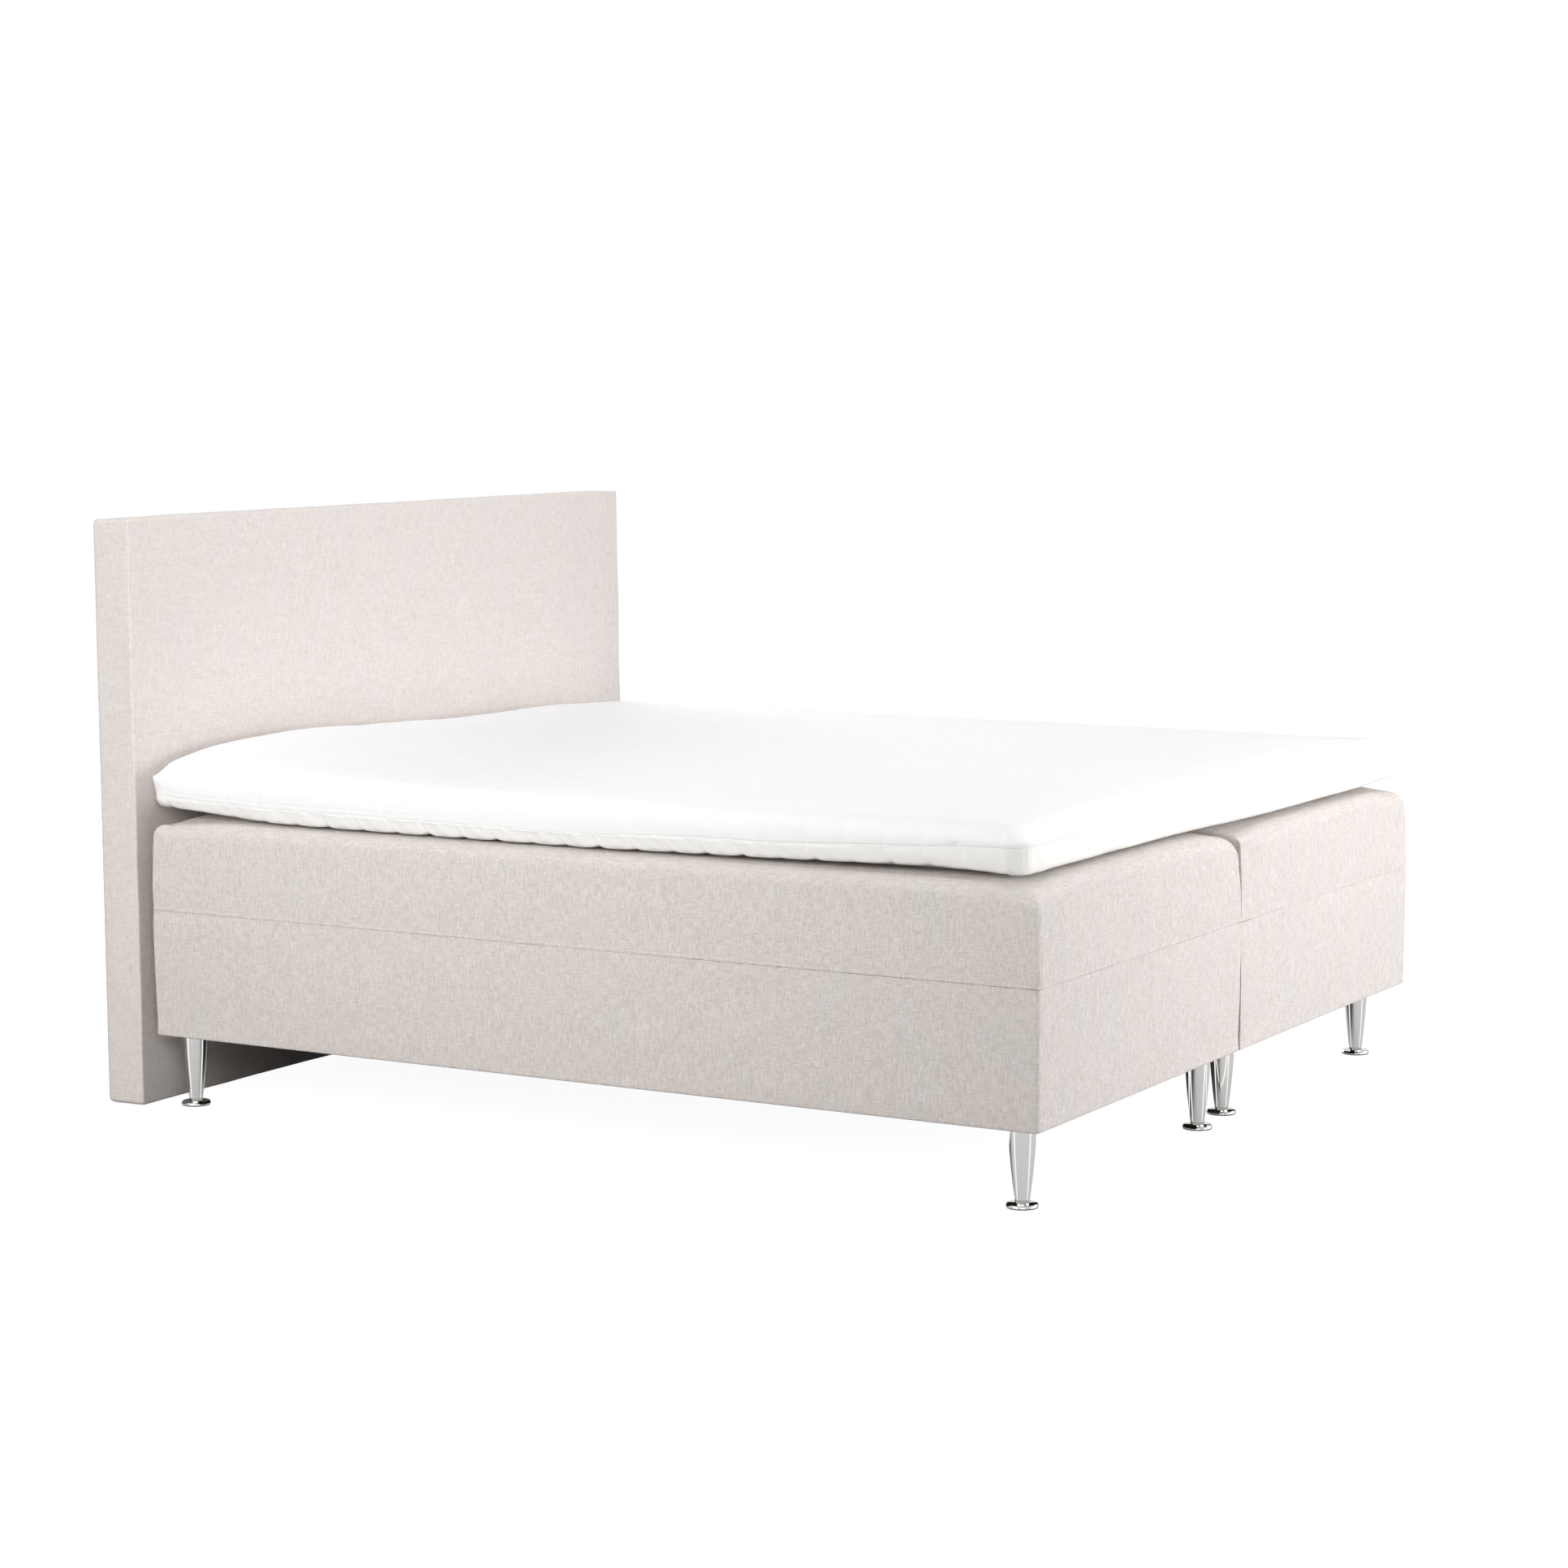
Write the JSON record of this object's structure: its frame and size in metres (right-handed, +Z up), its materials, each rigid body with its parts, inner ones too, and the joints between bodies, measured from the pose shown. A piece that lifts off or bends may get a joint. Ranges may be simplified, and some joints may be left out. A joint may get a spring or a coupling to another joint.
{
  "type": "double bed",
  "caption": "Continental double bed: sprung upholstered bases on tapered chrome legs with levelling glides, a quilted topper and a tall upholstered headboard.",
  "frame": {"origin": "middle of the bed's footprint on the floor", "axes": "+X to the right of someone who stands at the foot and faces the headboard, +Y from the foot to the headboard, +Z up"},
  "size_m": [1.82, 2.132, 1.1998],
  "materials": {
    "base_fabric": "woven melange upholstery",
    "topper_fabric": "white quilted knit",
    "chrome": "polished",
    "zinc_steel": "bright zinc",
    "pine": "planed, unfinished",
    "chipboard": "raw board",
    "foam": "open-cell foam",
    "spring_cloth": "non-woven spring pockets",
    "grey_felt": "needled felt",
    "black_cloth": "thin non-woven dust cloth",
    "black_plastic": "moulded"
  },
  "bodies": {
    "bed": {"left_lower_cover": "base_fabric", "left_upper_cover": "base_fabric", "left_foam_case": "foam", "left_upper_springs": "spring_cloth", "left_divider_felt": "grey_felt", "left_lower_springs": "spring_cloth", "left_slat_deck": "pine", "left_side_board_outer": "pine", "left_side_board_inner": "pine", "left_end_board_foot": "pine", "left_end_board_head": "pine", "left_dust_cover": "black_cloth", "left_foot_outer_leg": "chrome", "left_foot_inner_leg": "chrome", "left_head_outer_leg": "chrome", "left_head_inner_leg": "chrome", "right_lower_cover": "base_fabric", "right_upper_cover": "base_fabric", "right_foam_case": "foam", "right_upper_springs": "spring_cloth", "right_divider_felt": "grey_felt", "right_lower_springs": "spring_cloth", "right_slat_deck": "pine", "right_side_board_outer": "pine", "right_side_board_inner": "pine", "right_end_board_foot": "pine", "right_end_board_head": "pine", "right_dust_cover": "black_cloth", "right_foot_outer_leg": "chrome", "right_foot_inner_leg": "chrome", "right_head_outer_leg": "chrome", "right_head_inner_leg": "chrome", "coupling_plate_foot": "zinc_steel", "coupling_plate_head": "zinc_steel", "headboard_cover": "base_fabric", "headboard_foam": "foam", "headboard_board": "chipboard", "headboard_stile_left": "pine", "headboard_stile_right": "pine", "headboard_rail_bottom": "pine", "headboard_rail_middle": "pine", "headboard_rail_top": "pine", "headboard_back_cloth": "black_cloth", "headboard_bracket_left": "zinc_steel", "headboard_floor_pad_left": "black_plastic", "headboard_bracket_right": "zinc_steel", "headboard_floor_pad_right": "black_plastic"},
    "topper": {"topper_top_cover": "topper_fabric", "topper_bottom_cover": "topper_fabric", "topper_core": "foam"},
    "left_foot_outer_glide": {"left_foot_outer_glide": "chrome"},
    "left_foot_inner_glide": {"left_foot_inner_glide": "chrome"},
    "left_head_outer_glide": {"left_head_outer_glide": "chrome"},
    "left_head_inner_glide": {"left_head_inner_glide": "chrome"},
    "right_foot_outer_glide": {"right_foot_outer_glide": "chrome"},
    "right_foot_inner_glide": {"right_foot_inner_glide": "chrome"},
    "right_head_outer_glide": {"right_head_outer_glide": "chrome"},
    "right_head_inner_glide": {"right_head_inner_glide": "chrome"}
  },
  "joints": [
    {"name": "topper_lift", "type": "slide", "parent": "bed", "child": "topper", "axis": [0, 0, 1], "range_m": [0, 0.65]},
    {"name": "left_foot_outer_glide_screw", "type": "slide", "parent": "bed", "child": "left_foot_outer_glide", "axis": [0, 0, -1], "range_m": [0, 0.012]},
    {"name": "left_foot_inner_glide_screw", "type": "slide", "parent": "bed", "child": "left_foot_inner_glide", "axis": [0, 0, -1], "range_m": [0, 0.012]},
    {"name": "left_head_outer_glide_screw", "type": "slide", "parent": "bed", "child": "left_head_outer_glide", "axis": [0, 0, -1], "range_m": [0, 0.012]},
    {"name": "left_head_inner_glide_screw", "type": "slide", "parent": "bed", "child": "left_head_inner_glide", "axis": [0, 0, -1], "range_m": [0, 0.012]},
    {"name": "right_foot_outer_glide_screw", "type": "slide", "parent": "bed", "child": "right_foot_outer_glide", "axis": [0, 0, -1], "range_m": [0, 0.012]},
    {"name": "right_foot_inner_glide_screw", "type": "slide", "parent": "bed", "child": "right_foot_inner_glide", "axis": [0, 0, -1], "range_m": [0, 0.012]},
    {"name": "right_head_outer_glide_screw", "type": "slide", "parent": "bed", "child": "right_head_outer_glide", "axis": [0, 0, -1], "range_m": [0, 0.012]},
    {"name": "right_head_inner_glide_screw", "type": "slide", "parent": "bed", "child": "right_head_inner_glide", "axis": [0, 0, -1], "range_m": [0, 0.012]}
  ]
}
